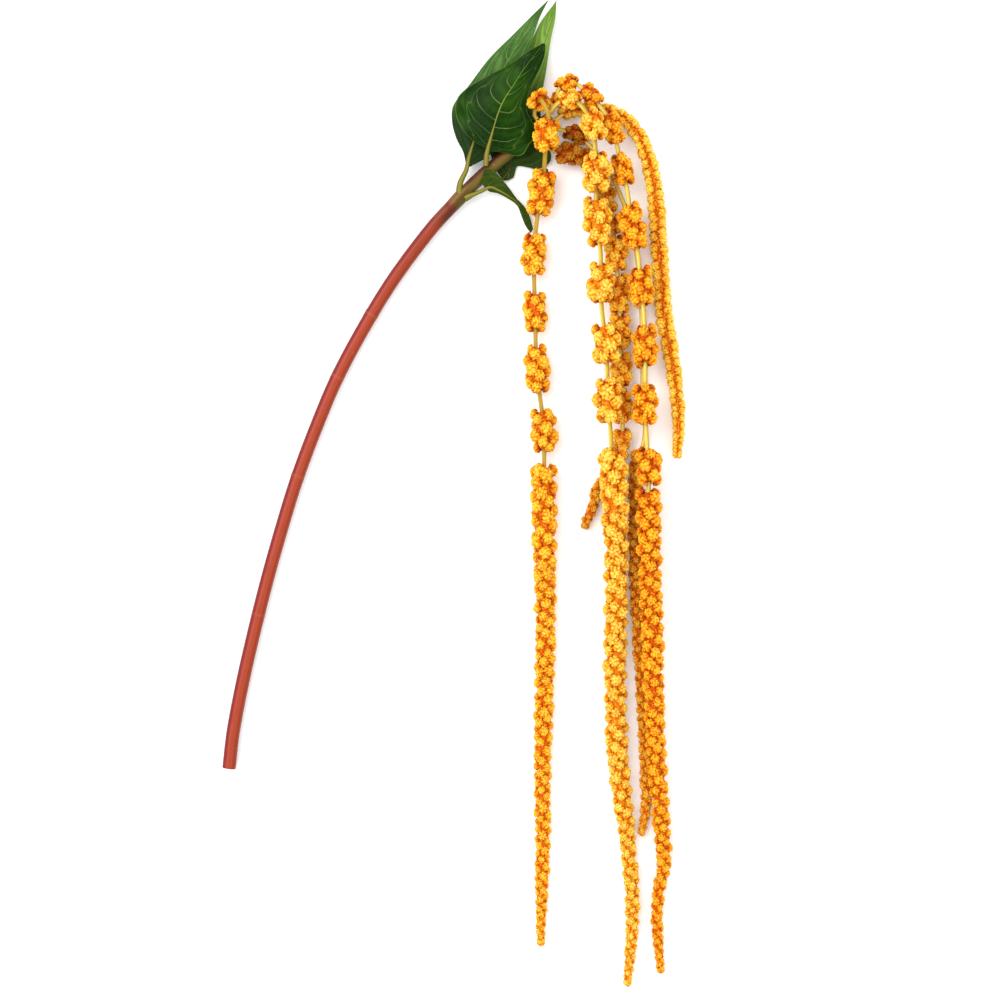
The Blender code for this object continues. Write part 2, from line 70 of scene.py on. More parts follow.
# Old joints along the stem: share of the length, half width, swelling
STEM_RINGS = [
    (0.21, 1.6, 0.1), (0.402, 1.4, 0.18), (0.545, 2, 0.12), (0.64, 2, 0.25), (0.835, 5, 0.45),
]
COLLAR = 0.818
CUT_BEVEL = 0.5
MERGE_WITHIN = 0.001
SHARP_FROM = math.radians(65)


def smooth_points(route, per_stretch):
    """Points on a smooth curve through the route's own points."""
    knots = [Vector(point) for point in route]
    last = len(knots) - 1
    ways = [(knots[min(i + 1, last)] - knots[max(i - 1, 0)]).normalized() for i in range(last + 1)]
    points = []
    for i in range(last):
        reach = (knots[i + 1] - knots[i]).length / 3
        handles = knots[i] + ways[i] * reach, knots[i + 1] - ways[i + 1] * reach
        points += interpolate_bezier(knots[i], *handles, knots[i + 1], per_stretch + 1)[:-1]
    return points + [knots[-1]]


class Line:
    """A smooth route with the distance, place and cross directions of every point on it."""

    def __init__(self, route):
        self.points = smooth_points(route, ROUTE_DETAIL)
        self.along = [0]
        for before, after in zip(self.points, self.points[1:]):
            self.along.append(self.along[-1] + (after - before).length)
        self.length = self.along[-1]
        self.sides = []
        side = None
        for i in range(len(self.points)):
            way = self.points[min(i + 1, len(self.points) - 1)] - self.points[max(i - 1, 0)]
            side = way.cross(UP) if side is None else side - side.project(way)
            side.normalize()
            self.sides.append((side.copy(), side.cross(way).normalized()))

    def stretch(self, distance):
        """The two points that a distance lies between, and its share of the way there."""
        low, high = 0, len(self.along) - 1
        while high - low > 1:
            middle = (low + high) // 2
            low, high = (low, middle) if self.along[middle] > distance else (middle, high)
        part = (distance - self.along[low]) / (self.along[high] - self.along[low])
        return low, high, min(max(part, 0), 1)

    def centre(self, distance):
        low, high, part = self.stretch(distance)
        return self.points[low].lerp(self.points[high], part)

    def outward(self, distance, angle):
        """The direction away from the line, at an angle round it from its side upwards."""
        low, high, part = self.stretch(distance)
        across = self.sides[low][0].lerp(self.sides[high][0], part)
        upward = self.sides[low][1].lerp(self.sides[high][1], part)
        return (across * math.cos(angle) + upward * math.sin(angle)).normalized()

    def place(self, distance, angle, radius):
        """The point at an angle round the line and a radius from it, never under the floor."""
        point = self.centre(distance) + self.outward(distance, angle) * radius
        point.z = max(point.z, 0)
        return point

    def nearest(self, x, y):
        """The distance along the line at which it passes nearest to a place seen from above."""
        spans = [(point.x - x) ** 2 + (point.y - y) ** 2 for point in self.points]
        return self.along[spans.index(min(spans))]


def read_table(table, value):
    """A value between the pairs of a table, straight from one pair to the next."""
    for (start, low), (end, high) in zip(table, table[1:]):
        if value <= end:
            return low + (high - low) * min(max((value - start) / (end - start), 0), 1)
    return table[-1][1]


def roll_tube(bm, line, start, end, radius_at, sides, step):
    """A flat grid rolled round the line into a tube. Returns its side faces and its two ends."""
    before = set(bm.faces)
    steps = max(round((end - start) / step), 2)
    made = bmesh.ops.create_grid(bm, x_segments=sides, y_segments=steps, size=1, calc_uvs=True)
    for vert in made["verts"]:
        distance = start + (end - start) * (vert.co.y + 1) / 2
        angle = math.pi * vert.co.x
        vert.co = line.place(distance, angle, radius_at(distance, angle))
    bmesh.ops.remove_doubles(bm, verts=made["verts"], dist=MERGE_WITHIN)
    faces = [face for face in bm.faces if face not in before]
    rims = {edge for face in faces for edge in face.edges if edge.is_boundary}
    caps = bmesh.ops.holes_fill(bm, edges=list(rims), sides=0)["faces"]
    bmesh.ops.recalc_face_normals(bm, faces=faces + caps)
    return faces, caps


def finish_piece(name, bm, materials, node):
    """The bmesh as a piece in metres, in the place of the node, smooth but for sharp rims."""
    bmesh.ops.scale(bm, vec=(MM, MM, MM), verts=bm.verts)
    mesh = bpy.data.meshes.new(name)
    bm.to_mesh(mesh)
    bm.free()
    mesh.shade_smooth()
    mesh.set_sharp_from_angle(angle=SHARP_FROM)
    for material in materials:
        mesh.materials.append(material)
    piece = bpy.data.objects.new(name, mesh)
    bpy.context.scene.collection.objects.link(piece)
    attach(piece, "root")
    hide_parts(node)
    return piece


LIGHT_SHARE = 0.88


def srgb(red, green, blue):
    """A colour of 0 to 255 a channel, as the camera sees it, for the bright light used here."""
    return (*(LIGHT_SHARE * (level / 255) ** 2.2 for level in (red, green, blue)), 1)


class Paint:
    """A material's nodes, laid down one by one."""

    def __init__(self, title, roughness, **fixed):
        self.material = bpy.data.materials.new(title)
        self.material.use_nodes = True
        self.tree = self.material.node_tree
        self.shader = self.tree.nodes["Principled BSDF"]
        self.shader.inputs["Roughness"].default_value = roughness
        for socket, value in fixed.items():
            self.shader.inputs[socket.replace("_", " ")].default_value = value

    def add(self, kind, settings=None, **inputs):
        """A node with its inputs given by name, or by number as i0, i1 and so on."""
        made = self.tree.nodes.new("ShaderNode" + kind)
        for key, value in (settings or {}).items():
            setattr(made, key, value)
        for key, value in inputs.items():
            numbered = key[0] == "i" and key[1:].isdigit()
            self.give(made.inputs[int(key[1:]) if numbered else key], value)
        return made

    def give(self, socket, value):
        """Sets a socket, or links it where the value is another node's output."""
        if isinstance(value, bpy.types.NodeSocket):
            self.tree.links.new(value, socket)
        else:
            socket.default_value = value

    def sum(self, operation, *values):
        inputs = {f"i{n}": value for n, value in enumerate(values)}
        return self.add("Math", {"operation": operation}, **inputs).outputs[0]

    def smooth(self, value, low, high, start=0.0, end=1.0):
        """Start where value is low, end where it is high, and a soft step between."""
        made = self.add("MapRange", {"interpolation_type": "SMOOTHSTEP"}, Value=value)
        sockets = ("From Min", "From Max", "To Min", "To Max")
        for socket, number in zip(sockets, (low, high, start, end)):
            made.inputs[socket].default_value = number
        return made.outputs["Result"]

    def away(self, value, place):
        """How far a value is from a place, to either side."""
        return self.sum("ABSOLUTE", self.sum("SUBTRACT", value, place))

    def ramp(self, value, stops):
        made = self.add("ValToRGB", Fac=value)
        places = made.color_ramp.elements
        while len(places) < len(stops):
            places.new(0.5)
        for element, (place, colour) in zip(places, stops):
            element.position = place
            element.color = colour
        return made.outputs["Color"]

    def mix(self, share, first, second, blend="MIX"):
        """Two colours mixed. The node's colour sockets are known by number alone."""
        settings = {"data_type": "RGBA", "blend_type": blend}
        return self.add("Mix", settings, i0=share, i6=first, i7=second).outputs[2]

    def noise(self, scale, detail=2.0, stretch=(1, 1, 1), source="Object"):
        where = self.add("TexCoord").outputs[source]
        turned = self.add("Mapping", Vector=where, Scale=stretch).outputs[0]
        return self.add("TexNoise", Vector=turned, Scale=scale, Detail=detail).outputs["Fac"]

    def across_and_along(self):
        """The two UV values: round a tube or across a blade, and along it."""
        parts = self.add("SeparateXYZ", Vector=self.add("TexCoord").outputs["UV"])
        return parts.outputs["X"], parts.outputs["Y"]

    def colour(self, output):
        self.tree.links.new(output, self.shader.inputs["Base Color"])

    def rough(self, output):
        self.tree.links.new(output, self.shader.inputs["Roughness"])

    def bump(self, height, distance, strength=1.0):
        made = self.add("Bump", Height=height, Distance=distance, Strength=strength)
        self.tree.links.new(made.outputs[0], self.shader.inputs["Normal"])


def stem_skin():
    """Red below and olive above, each a ramp round the stem with a painted soft highlight along
    its top and painted shade down its sides.
    """
    paint = Paint("stem_skin", 0.34, Specular_IOR_Level=0.2)
    across, along = paint.across_and_along()
    # Each ramp round the stem is the stem's own colour with a painted highlight along the top and
    # painted shade down the sides, darkest on the left.
    red = paint.ramp(across, [
        (0.0, srgb(100, 8, 2)), (0.3, srgb(90, 20, 6)), (0.5, srgb(130, 46, 12)),
        (0.64, srgb(150, 50, 14)), (0.7, srgb(164, 66, 34)), (0.75, srgb(164, 60, 40)),
        (0.8, srgb(164, 70, 56)), (0.86, srgb(134, 22, 6)), (0.92, srgb(112, 10, 2)),
        (1.0, srgb(100, 8, 2)),
    ])
    brown = paint.ramp(across, [
        (0.0, srgb(96, 40, 14)), (0.5, srgb(70, 36, 10)), (0.7, srgb(94, 36, 12)),
        (0.75, srgb(110, 44, 18)), (0.8, srgb(130, 64, 38)), (0.86, srgb(126, 58, 32)),
        (1.0, srgb(96, 40, 14)),
    ])
    olive = paint.ramp(across, [
        (0.0, srgb(100, 60, 16)), (0.5, srgb(84, 84, 24)), (0.7, srgb(78, 64, 4)),
        (0.75, srgb(96, 72, 14)), (0.8, srgb(124, 94, 50)), (0.86, srgb(120, 80, 36)),
        (1.0, srgb(100, 60, 16)),
    ])
    # The crown ramp is kept dark as a painted shadow of the front leaf over it, with a painted
    # highlight near the top.
    crown = paint.ramp(across, [
        (0.0, srgb(62, 28, 4)), (0.5, srgb(40, 40, 0)), (0.64, srgb(90, 82, 16)),
        (0.72, srgb(108, 90, 28)), (0.79, srgb(98, 66, 16)), (0.86, srgb(78, 40, 8)),
        (1.0, srgb(62, 28, 4)),
    ])
    skin = paint.mix(paint.smooth(along, 0.6, 0.8, 0, 0.35), red, srgb(112, 44, 16))
    skin = paint.mix(paint.smooth(along, 0.78, 0.81), skin, brown)
    skin = paint.mix(paint.smooth(along, COLLAR, 0.83), skin, olive)
    skin = paint.mix(paint.smooth(along, 0.845, 0.865), skin, crown)
    streaks = paint.noise(9, 4, (5, 14, 1), "UV")
    skin = paint.mix(paint.smooth(streaks, 0.55, 0.8, 0, 0.3), skin, srgb(174, 84, 50))
    darker = paint.noise(7, 3, (9, 5, 1), "UV")
    skin = paint.mix(paint.smooth(darker, 0.5, 0.75, 0, 0.35), skin, srgb(120, 28, 14))
    for share, width, _ in STEM_RINGS[:-1]:
        ring = paint.smooth(paint.away(along, share), 0.0, 0.003, 0.22, 0)
        skin = paint.mix(ring, skin, srgb(176, 104, 66))
    collar = paint.smooth(paint.away(along, COLLAR), 0.001, 0.006, 0.5, 0)
    skin = paint.mix(collar, skin, srgb(96, 30, 14))
    specks = paint.smooth(paint.noise(420, 1), 0.72, 0.78, 0, 0.3)
    skin = paint.mix(specks, skin, srgb(184, 108, 74))
    paint.colour(skin)
    paint.rough(paint.smooth(streaks, 0.3, 0.8, 0.34, 0.5))
    paint.bump(streaks, 0.00025, 0.6)
    return paint.material


def cut_face():
    paint = Paint("cut_face", 0.7)
    grain = paint.noise(900, 3)
    paint.colour(paint.ramp(grain, [(0.35, srgb(112, 92, 40)), (0.65, srgb(160, 146, 78))]))
    paint.bump(grain, 0.0003)
    return paint.material


stem_line = Line(STEM_ROUTE)


def stem_radius(distance, angle):
    share = distance / stem_line.length
    radius = read_table(STEM_RADII, share) - RIB_DEPTH * (1 - math.cos(STEM_RIBS * angle)) / 2
    for place, width, swell in STEM_RINGS:
        radius += swell * math.exp(-(((share - place) * stem_line.length / width) ** 2))
    return min(radius, STEM_MOST)


bm = bmesh.new()
bm.loops.layers.uv.new("UVMap")
_, caps = roll_tube(bm, stem_line, 0, stem_line.length, stem_radius, STEM_SIDES, STEM_STEP)
lower_cap = min(caps, key=lambda face: face.calc_center_median().y)
lower_cap.material_index = 1
bmesh.ops.bevel(
    bm, geom=list(lower_cap.edges), offset=CUT_BEVEL, offset_type="OFFSET", segments=2,
    profile=0.5, affect="EDGES", material=-1,
)
finish_piece("stem_skin", bm, [stem_skin(), cut_face()], "stem")


# Strand at the left.
# A soft yellow axis carries tight balls of tiny orange florets, in egg-shaped clusters near
# the crown and then in one unbroken tail that thins to the tip. It hangs free of the others.
GOLDEN_TURN = math.pi * (3 - math.sqrt(5))
AXIS_RADIUS, AXIS_SIDES, AXIS_STEP, AXIS_ROOM = 1.6, 12, 3.5, 2
AXIS_RIBS, AXIS_RIB_DEPTH = 5, 0.08
# A ball is one unit across, and its florets are set on it from the top down
BALL_KINDS, NARROW_BALL = 6, 5.6
FLORETS_WIDE, FLORET_WIDE = 22, 0.165
FLORETS_NARROW, FLORET_NARROW = 12, 0.205
BALL_COVER, LIFT_JITTER, RING_JITTER = 1.4, 0.04, 0.3
FLORET_SIZES, FLORET_SUNK, FLORET_FLAT = (0.72, 1.3), (0.7, 0.95), (0.75, 1)
FLORET_TIP = 0.85
PETAL_WIDTH, PETAL_LENGTH, PETAL_TURN = 0.78, 1.3, 0.6
HEART_SHARE, HEART_TINT = 0.42, 0.4
# Painted light on each ball: painted shade is darkest below the first height and gone one span
# higher, and a floret's middle keeps the last share of the painted highlight on its tip.
LIT_FROM, LIT_OVER, LIT_LEAST = -0.16, 0.46, 0.64
# Where a strand's radius is over the first number: how many balls stand round it, and how
# wide one is, as a share of that radius
BALLS_ROUND = [(7.0, 4.3, 0.99), (5.0, 3.9, 1.05), (0.0, 3.5, 1.13)]
BALL_FLOOR, BALL_PITCH = 4.6, 0.92
# How far out the balls stand, and what they leave free at a block's ends, below and on top
REACH, REACH_PAIRED, END_ROOM, FLOOR_ROOM, CEILING = 1.07, 1.0, 0.36, 0.57, 38.1
PLACE_JITTER, TURN_JITTER, SIZE_JITTER, LONG_JITTER = 0.12, 0.18, 0.16, 0.2
CORE_SHARE, CORE_SLIM, CORE_LEAST = 0.58, 0.42, 1.0
CORE_SIDES, CORE_STEP = 8, 4
# The cores are set low on the painted light, to the deep painted shade that shows between the
# balls.
CORE_ROUNDING, CORE_INSET, CORE_PAINTED_LIGHT = 4, 1.5, 0.27
EGG_TAPER, EGG_LEAST, TIP_ROOM = 0.5, 0.2, 1.5


def ball_of_florets(florets, floret_radius, draw):
    """A ball one unit across: a round heart, and florets that stand a little out of it."""
    bm = bmesh.new()
    painted_light = bm.verts.layers.float.new("painted_light")
    tint = bm.verts.layers.float.new("tint")

    def lit(vert, level):
        """Painted light, from 0 for painted shade deep between the balls to 1 for a painted
        highlight on the tips of the florets.
        """
        shade = min(max((vert.co.z - LIT_FROM) / LIT_OVER, 0), 1)
        return shade * (LIT_LEAST + (1 - LIT_LEAST) * level)

    for vert in bmesh.ops.create_icosphere(bm, subdivisions=1, radius=HEART_SHARE)["verts"]:
        vert[painted_light], vert[tint] = lit(vert, 0), HEART_TINT
    for k in range(florets):
        lift = 1 - BALL_COVER * (k + 0.5) / florets + draw.uniform(-LIFT_JITTER, LIFT_JITTER)
        turn = k * GOLDEN_TURN + draw.uniform(-RING_JITTER, RING_JITTER)
        flat = math.sqrt(max(1 - lift * lift, 0))
        way = Vector((flat * math.cos(turn), flat * math.sin(turn), lift))
        size = floret_radius * draw.uniform(*FLORET_SIZES)
        middle = way * (0.5 - size * draw.uniform(*FLORET_SUNK))
        place = Matrix.Translation(middle) @ way.to_track_quat("Z", "Y").to_matrix().to_4x4()
        place @= Matrix.Rotation(draw.uniform(-1, 1) * PETAL_TURN, 4, "Z")
        place @= Matrix.Diagonal((PETAL_WIDTH, PETAL_LENGTH, draw.uniform(*FLORET_FLAT), 1))
        made = bmesh.ops.create_icosphere(bm, subdivisions=1, radius=size, matrix=place)
        shade = draw.random()
        for vert in made["verts"]:
            vert[painted_light] = lit(vert, (vert.co - middle).dot(way) / (size * FLORET_TIP))
            vert[tint] = shade
    mesh = bpy.data.meshes.new("ball_of_florets")
    bm.to_mesh(mesh)
    bm.free()
    return mesh


ball_draw = random.Random(7)
wide_balls = [ball_of_florets(FLORETS_WIDE, FLORET_WIDE, ball_draw) for _ in range(BALL_KINDS)]
narrow_balls = [
    ball_of_florets(FLORETS_NARROW, FLORET_NARROW, ball_draw) for _ in range(BALL_KINDS)
]


def set_balls(bm, line, start, end, radius_at, turns, draw):
    """Balls up the line: a golden turn apart, or at the turns given, over and over."""
    distance, first, count = start, draw.uniform(0, 2 * math.pi), 0
    while distance < end:
        number, share = next(row[1:] for row in BALLS_ROUND if radius_at(distance) > row[0])
        width = max(radius_at(distance) * share, BALL_FLOOR)
        distance += width * BALL_PITCH / (len(turns) or number)
        count += 1
        turn = turns[count % len(turns)] if turns else first + count * GOLDEN_TURN
        size = 1 + draw.uniform(-1, 1) * SIZE_JITTER
        wide = width * size
        edge = wide * END_ROOM
        shift = draw.uniform(-1, 1) * PLACE_JITTER * width
        at = min(max(distance + shift, start + edge), end - edge)
        outward = line.outward(at, turn + draw.uniform(-1, 1) * TURN_JITTER)
        reach = radius_at(at) * (REACH_PAIRED if turns else REACH) * (1 + (size - 1) / 2)
        middle = line.centre(at) + outward * max(reach - wide / 2, 0)
        middle.z = min(max(middle.z, wide * FLOOR_ROOM), CEILING - wide * FLOOR_ROOM)
        way = line.centre(at + 0.5) - line.centre(at - 0.5)
        side = way.cross(outward).normalized()
        lie = Matrix((side, outward.cross(side), outward)).transposed().to_4x4()
        spin = Matrix.Rotation(draw.uniform(0, 2 * math.pi), 4, "Z")
        long = wide * (1 + draw.uniform(0, 1) * LONG_JITTER)
        place = Matrix.Translation(middle) @ lie @ Matrix.Diagonal((wide, long, wide, 1)) @ spin
        ball = draw.choice(wide_balls if wide > NARROW_BALL else narrow_balls).copy()
        ball.transform(place)
        bm.from_mesh(ball)
        bpy.data.meshes.remove(ball)


def axis_skin():
    paint = Paint("axis_skin", 0.45)
    across, _ = paint.across_and_along()
    streaks = paint.noise(6, 3, (6, 60, 1), "UV")
    # Round the axis: its own yellow with a painted highlight along the top and painted shade down
    # the left side.
    side = paint.ramp(across, [
        (0.0, srgb(176, 138, 16)), (0.5, srgb(206, 160, 30)), (0.62, srgb(238, 204, 84)),
        (0.7, srgb(250, 224, 124)), (0.8, srgb(232, 200, 52)), (0.92, srgb(194, 154, 16)),
        (1.0, srgb(176, 138, 16)),
    ])
    skin = paint.mix(paint.smooth(streaks, 0.5, 0.7, 0, 0.35), side, srgb(178, 152, 24))
    paint.colour(skin)
    paint.bump(streaks, 0.0002, 0.5)
    return paint.material


HALF_LENGTH = 0.35


def floret_skin(title, shadow, deep, body, tip_highlight, painted_shade_along=()):
    """Florets, dark with painted shade in the crevices and pale with a painted highlight on the
    tips.

    Painted shade along the head: pairs of a place along it, in metres, and how bright the florets
    are there.
    """
    paint = Paint(title, 0.4, Specular_IOR_Level=0.07)
    painted_light = paint.add("Attribute", {"attribute_name": "painted_light"}).outputs["Fac"]
    tint = paint.add("Attribute", {"attribute_name": "tint"}).outputs["Fac"]
    # The painted light picks the colour: painted shadow and painted shade deep between the balls,
    # the body, and a painted highlight on the tips.
    skin = paint.ramp(painted_light, [(0.02, shadow), (0.26, deep), (0.58, body), (0.97, tip_highlight)])
    skin = paint.mix(paint.smooth(tint, 0.6, 1.0, 0, 0.35), skin, tip_highlight)
    skin = paint.mix(paint.smooth(tint, 0.35, 0.0, 0, 0.25), skin, deep)
    patches = paint.noise(70, 2)
    skin = paint.mix(paint.smooth(patches, 0.48, 0.72, 0, 0.15), skin, deep)
    # A fine crease pattern, painted as shade in the creases and as glints on the ridges, and used
    # for the bump too.
    creases = paint.noise(640, 3)
    skin = paint.mix(paint.smooth(creases, 0.5, 0.36, 0, 0.4), skin, deep)
    skin = paint.mix(paint.smooth(creases, 0.54, 0.68, 0, 0.5), skin, tip_highlight)
    if painted_shade_along:
        place = paint.add("TexCoord").outputs["Object"]
        ahead = paint.add("SeparateXYZ", Vector=place).outputs["Y"]
        whole = {"From Min": -HALF_LENGTH, "From Max": HALF_LENGTH}
        share = paint.add("MapRange", Value=ahead, **whole).outputs["Result"]
        levels = [
            (0.5 + 0.5 * y / HALF_LENGTH, (level, level**1.6, level**2, 1)) for y, level in painted_shade_along
        ]
        skin = paint.mix(1.0, skin, paint.ramp(share, levels), "MULTIPLY")
    paint.colour(skin)
    paint.bump(creases, 0.0006, 0.7)
    return paint.material


def make_strand(node, skins, route, clusters, tail, seed, turns=()):
    """One strand: its axis, the cores of its clusters and tail, and its balls of florets.

    A cluster is its x and y, length and radius, and a row of the tail its x and y and radius.
    """
    line = Line(route)
    draw = random.Random(seed)
    bm = bmesh.new()
    bm.loops.layers.uv.new("UVMap")
    painted_light = bm.verts.layers.float.new("painted_light")
    tint = bm.verts.layers.float.new("tint")
    table = [(line.nearest(x, y), radius) for x, y, radius in tail]
    blocks = [(table[0][0], line.length - TIP_ROOM, lambda distance: read_table(table, distance))]
    for x, y, length, radius in clusters:
        middle = line.nearest(x, y)

        def egg(distance, middle=middle, length=length, radius=radius):
            off = (distance - middle) / (length / 2)
            return radius * math.sqrt(max(1 - EGG_TAPER * off * off, EGG_LEAST))

        blocks.append((middle - length / 2, middle + length / 2, egg))

    def ribbed(distance, angle):
        return AXIS_RADIUS * (1 - AXIS_RIB_DEPTH * (1 + math.cos(AXIS_RIBS * angle)) / 2)

    roll_tube(bm, line, 0, line.length - AXIS_ROOM, ribbed, AXIS_SIDES, AXIS_STEP)
    for start, end, radius_at in blocks:
        def core(distance, angle, start=start, end=end, radius_at=radius_at):
            rounding = min(distance - start, end - distance, CORE_ROUNDING) / CORE_ROUNDING
            share = CORE_SLIM if turns else CORE_SHARE
            return max(radius_at(distance) * share * math.sqrt(max(rounding, 0)), CORE_LEAST)

        core_from, core_to = start + CORE_INSET, end - CORE_INSET
        faces, caps = roll_tube(bm, line, core_from, core_to, core, CORE_SIDES, CORE_STEP)
        # The cores take the deep painted shade seen between the balls.
        for face in faces + caps:
            face.material_index = 1
            for vert in face.verts:
                vert[painted_light], vert[tint] = CORE_PAINTED_LIGHT, HEART_TINT
        balls_from = len(bm.faces)
        set_balls(bm, line, start, end, radius_at, turns, draw)
        bm.faces.ensure_lookup_table()
        for face in bm.faces[balls_from:]:
            face.material_index = 1
    return finish_piece(node + "_florets", bm, skins, node)


axis = axis_skin()
orange = floret_skin(
    "florets_orange", srgb(130, 12, 0), srgb(218, 94, 0), srgb(250, 153, 0), srgb(255, 212, 68)
)
make_strand(
    "strand_left", [axis, orange],
    route=[
        (57.3, 261.7, 8.1), (55.5, 264.5, 8.3), (56, 269, 9), (58.5, 273, 12), (59, 274, 17),
        (60, 273, 23), (63, 268, 25.8), (65, 262, 25.2), (64, 252, 22.5), (63, 238, 17),
        (62, 224, 12), (60, 211, 9.6), (57, 189, 9.2), (55, 168, 9), (56, 128, 8.6), (57, 88, 9),
        (62, 45, 9.3), (62, -4, 9.2), (63, -66, 7.8), (62.7, -130, 6.8), (61.2, -178, 6.2),
        (61.3, -241, 5.4), (60.3, -287, 4.6), (60, -316, 2.8),
    ],
    clusters=[
        (59, 274, 13, 8.4), (64, 250.5, 22, 10.3), (60, 211, 31, 10), (55, 168, 28, 9.5),
        (56, 128, 27, 9), (57, 88, 32, 9.5), (62, 45, 29, 9.8),
    ],
    tail=[
        (62, 21, 9.7), (62.3, -24, 9.4), (62.8, -52, 8.1), (63, -80, 7.7), (62.8, -108, 7.3),
        (62.4, -136, 6.9), (61.5, -164, 6.8), (61.2, -192, 6.4), (61.3, -241, 5.6),
        (60.6, -276, 5), (60, -316, 2.9),
    ],
    seed=1,
)


# Strand in front.
# The longest and palest strand, which arches over the ones below it. It is the same growth, and
# its florets are painted yellower and paler as painted light, where the light falls full on them.
yellow = floret_skin(
    "florets_yellow", srgb(150, 24, 0), srgb(228, 118, 2), srgb(252, 170, 12), srgb(255, 226, 100)
)
make_strand(
    "strand_front", [axis, yellow],
    route=[
        (64, 263, 11.4), (64.5, 264, 14), (67.5, 267.5, 18), (72.5, 272, 22.6),
        (78.5, 273.8, 26), (85, 271, 28.4), (91, 264, 29.4), (96.2, 255.4, 29), (97, 243, 27.6),
        (98.5, 223.4, 26), (98, 208, 24.8), (98.5, 189, 24.8), (101, 167, 24.8),
        (101, 147, 24.8), (102, 126, 25), (104.8, 105, 25.4), (105.6, 86, 25.6),
        (106.4, 66, 25.6), (108, 42, 24.4), (109.8, 18, 22), (111.2, -7, 18), (112.4, -35, 13),
        (112.5, -74, 9.8), (111.8, -130, 8.8), (113.4, -178, 8.3), (115.8, -203, 7.3),
        (119.4, -231, 6), (122, -257, 5.4), (124, -287, 4.9), (123, -315, 4.1), (120, -344, 2.7),
    ],
    clusters=[
        (78.5, 273.8, 15, 7.4), (96.2, 255.4, 20, 9.2), (98.5, 223.4, 27, 10.3),
        (98.5, 189, 32, 10.2), (101, 147, 26, 10.3), (104.8, 105, 26, 10.5),
        (106.4, 66, 30, 10.6),
    ],
    tail=[
        (110, 32, 10), (111, -10, 9.6), (112.4, -40, 9), (112.5, -74, 8.5), (112, -160, 8.4),
        (115.8, -203, 7.5), (121, -243, 6.1), (124, -287, 5.2), (123, -325, 4.1),
        (120, -344, 2.8),
    ],
    seed=2,
)


# Strand at the right.
# It leaves the very end of the crown, climbs over the outer strand and lies beside the
# front one. Its florets are a deeper orange.
deep_orange = floret_skin(
    "florets_deep", srgb(116, 8, 0), srgb(208, 82, 0), srgb(248, 141, 0), srgb(255, 200, 54)
)
make_strand(
    "strand_right", [axis, deep_orange],
    route=[
        (66.4, 265.4, 8.2), (69, 269, 9), (70.8, 273.5, 10.6), (71.2, 278.5, 12.2),
        (73, 283.2, 13.6), (77.5, 286.3, 14.4), (84, 285.5, 15.2), (90, 281.4, 16),
        (96, 275.5, 16.8), (102, 268, 17.4), (106.6, 261.5, 17.6), (109.8, 255.2, 17.4),
        (112.6, 243, 16), (116.2, 226, 15), (119.4, 213, 17), (121, 201, 20), (123.2, 186, 22.2),
        (127, 166, 22.4), (129, 145, 22.4), (131, 125, 22.4), (132, 104, 22.4), (132, 83, 22.4),
        (132, 63, 22.4), (132.8, 41, 21.8), (134.5, 20, 20.8), (134.5, 1, 19.4),
        (135, -24, 18.4), (135.8, -52, 17.4), (137, -88, 17), (138.3, -136, 17.2),
        (139.8, -178, 16.2), (142.3, -210, 12.8), (144.6, -234, 8.6), (146, -254, 6),
        (143, -273, 5.2), (141, -292, 4.8), (142, -314, 4), (144, -335, 2.7),
    ],
    clusters=[
        (71.1, 275, 9, 5), (77.5, 286.3, 14, 6.8), (94, 277.5, 17, 7.6), (109.8, 255.2, 22, 8.1),
        (116.2, 226, 21, 8.2), (123.2, 186, 31, 10), (129, 145, 25, 9.6), (132, 104, 27, 9.6),
        (132, 63, 27, 9.8), (134.5, 20, 25, 9.6),
    ],
    tail=[
        (134.5, 3, 8.8), (135, -24, 8.7), (137, -88, 8.1), (138.3, -136, 7.6),
        (139.3, -164, 7.2), (142.3, -210, 6.8), (145, -240, 6), (143, -273, 5), (142, -314, 4),
        (144, -335, 2.8),
    ],
    seed=3,
)


# Strands below.
# Two thinner strands lie on the surface under the others, one below the front strand and one below
# the right one. Their florets are painted darker and brown-orange as painted shade under the
# others, most of all under the crown.
shaded = floret_skin(
    "florets_shaded", srgb(140, 20, 0), srgb(232, 108, 0), srgb(255, 166, 6), srgb(255, 220, 84),
    # Painted shade along the head: darkest under the crown, full light mid-way, and darker again
    # towards the tails.
    painted_shade_along=[(-0.22, 0.85), (-0.02, 0.72), (0.04, 1.0), (0.19, 1.0), (0.215, 0.62), (0.26, 0.42)],
)
make_strand(
    "strand_under_front", [axis, shaded],
    route=[
        (59.4, 252.6, 6.6), (61.5, 249.5, 5.9), (65, 243, 5.8), (69, 240, 6.3), (75, 238.5, 7.8),
        (84, 237, 8.2), (94, 233, 8), (101, 222, 8), (105, 206, 8), (109.5, 189, 7.8),
        (112, 168, 8.2), (113.4, 152, 8.2), (114.2, 136, 8.2), (115.2, 119, 8.2), (116, 102, 8),
        (116.2, 84, 7.8), (116.4, 66, 7.8), (117, 46, 7.2), (115, 28, 6.2), (107.5, 14, 5.4),
        (99.5, 3.5, 4.8), (96.3, -8.2, 4.3), (92.5, -17.5, 3.9), (89.8, -24.3, 3.2),
    ],
    clusters=[
        (83, 237, 25, 8.2), (104.4, 208.5, 23, 8.2), (109.3, 190, 13, 7.4), (112, 169, 24, 8.6),
        (114, 141, 26, 8.6), (115.5, 114, 24, 8.4), (116.1, 88, 22, 8), (116.5, 63, 24, 7.8),
    ],
    tail=[
        (117, 46, 7), (107.5, 14, 5.4), (99.5, 3.5, 4.8), (94, -14, 4.1), (89.8, -24.3, 3.2),
    ],
    seed=4,
)
